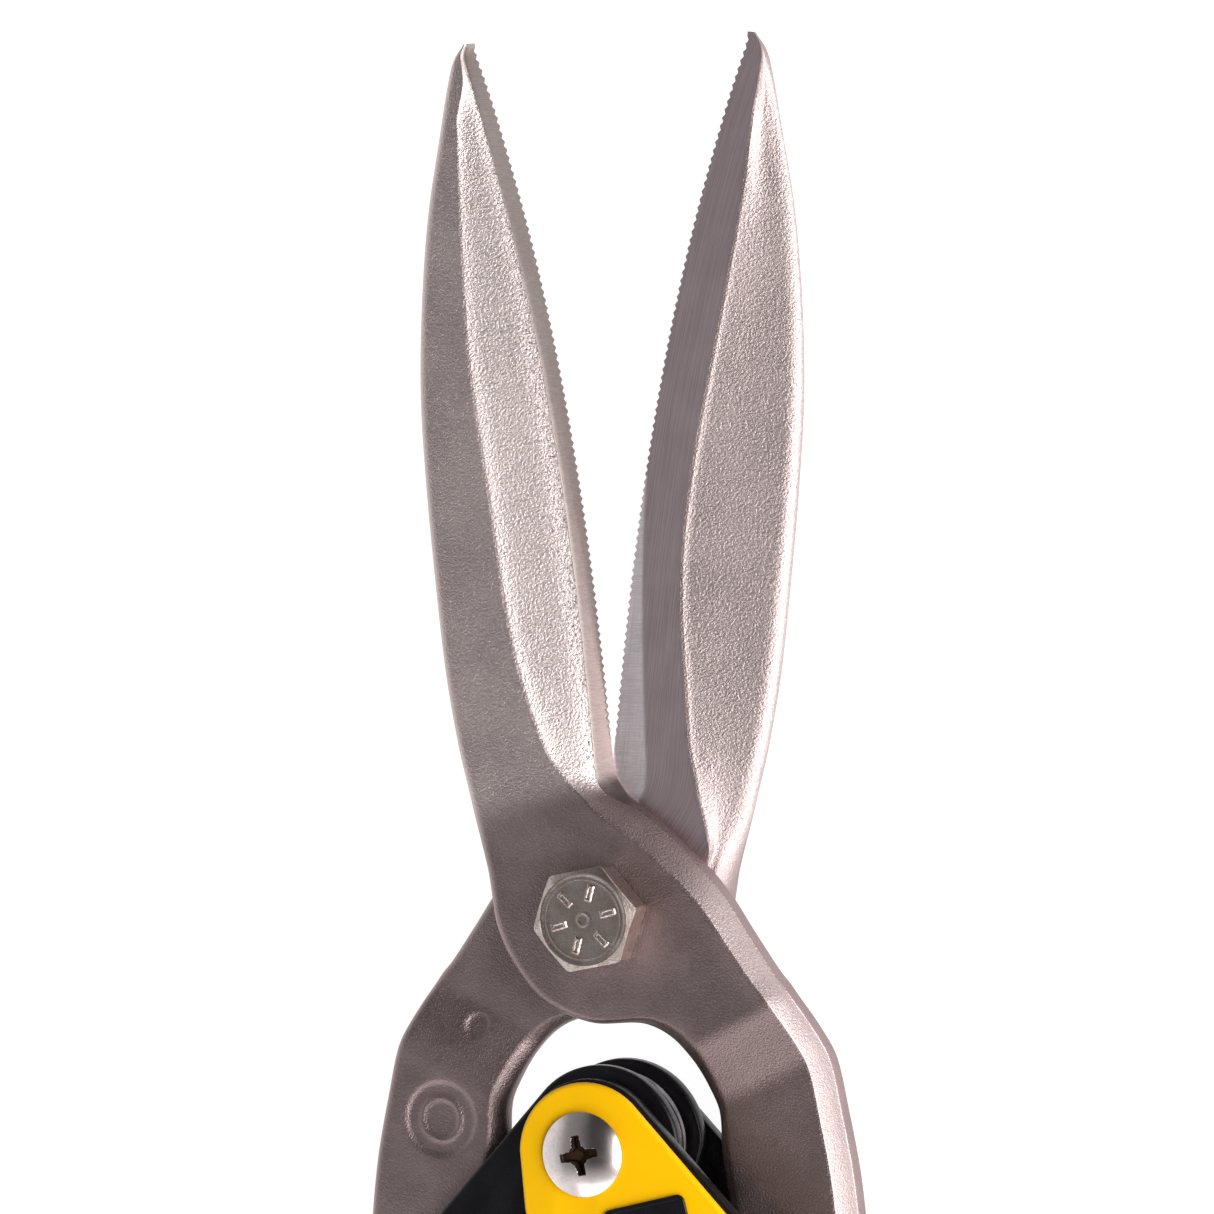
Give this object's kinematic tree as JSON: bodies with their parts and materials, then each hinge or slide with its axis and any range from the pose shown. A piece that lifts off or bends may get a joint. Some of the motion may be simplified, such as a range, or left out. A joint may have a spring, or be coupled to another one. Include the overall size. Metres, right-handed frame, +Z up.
{
  "type": "aviation snips",
  "caption": "Long-cut compound-leverage sheet-metal snips with serrated blades, sprung sleeved handles and a thumb latch.",
  "frame": {"origin": "under the middle of the open tool, on the surface that it lies on", "axes": "+Y toward the blade tips, +Z up from the surface toward the bolt head, +X to the right of the tool as it points away from the user"},
  "size_m": [0.1608, 0.2916, 0.0256],
  "materials": {
    "forged_steel": "shot-blasted forging with ground cutting faces",
    "nickel_plate": "bright nickel plate",
    "gunmetal": "dark oiled steel",
    "black_paint": "semi-gloss black paint",
    "yellow_plastic": "glossy",
    "black_rubber": "matt soft grip"
  },
  "bodies": {
    "rear_blade": {"blade_rear": "forged_steel", "pivot_bolt": "nickel_plate", "pivot_washer": "nickel_plate", "pivot_nut": "nickel_plate"},
    "front_blade": {"blade_front": "forged_steel"},
    "left_handle": {"handle_frame_left": "black_paint", "grip_left": "black_rubber", "grip_inlay_left": "yellow_plastic", "arm_pin_left": "gunmetal", "latch_stud": "gunmetal", "handle_spring": "gunmetal"},
    "right_handle": {"handle_frame_right": "black_paint", "grip_right": "black_rubber", "grip_inlay_right": "yellow_plastic", "handle_cover": "yellow_plastic", "cover_panel": "black_paint", "handle_pivot_screw": "nickel_plate", "handle_pivot_barrel": "gunmetal", "spring_bush": "gunmetal", "arm_pin_right": "gunmetal", "arm_spacer_front": "nickel_plate", "arm_spacer_rear": "nickel_plate", "latch_rivet": "gunmetal"},
    "latch": {"latch_plate": "nickel_plate"}
  },
  "joints": [
    {"name": "blade_pivot", "type": "hinge", "parent": "rear_blade", "child": "front_blade", "pos_m": [0, 0.03075, 0.0124], "axis": [0, 0, -1], "range_deg": [0, 19.6], "stiffness_Nm_per_rad": 0.8, "springref_deg": -28.65},
    {"name": "left_arm_pivot", "type": "hinge", "parent": "rear_blade", "child": "left_handle", "pos_m": [-0.025, -0.02725, 0.0124], "axis": [0, 0, 1], "range_deg": [0, 9.3]},
    {"name": "handle_pivot", "type": "hinge", "parent": "left_handle", "child": "right_handle", "pos_m": [0, 0.00035, 0.0124], "axis": [0, 0, -1], "range_deg": [0, 38.1], "deforming": ["handle_spring"]},
    {"name": "latch_pivot", "type": "hinge", "parent": "right_handle", "child": "latch", "pos_m": [0.02253, -0.04203, 0.0124], "axis": [0, 0, -1], "range_deg": [0, 100.5]}
  ],
  "couplings": [
    {"joint": "left_arm_pivot", "follows": "blade_pivot", "ratio": 0.471},
    {"joint": "handle_pivot", "follows": "blade_pivot", "ratio": 1.9425}
  ]
}
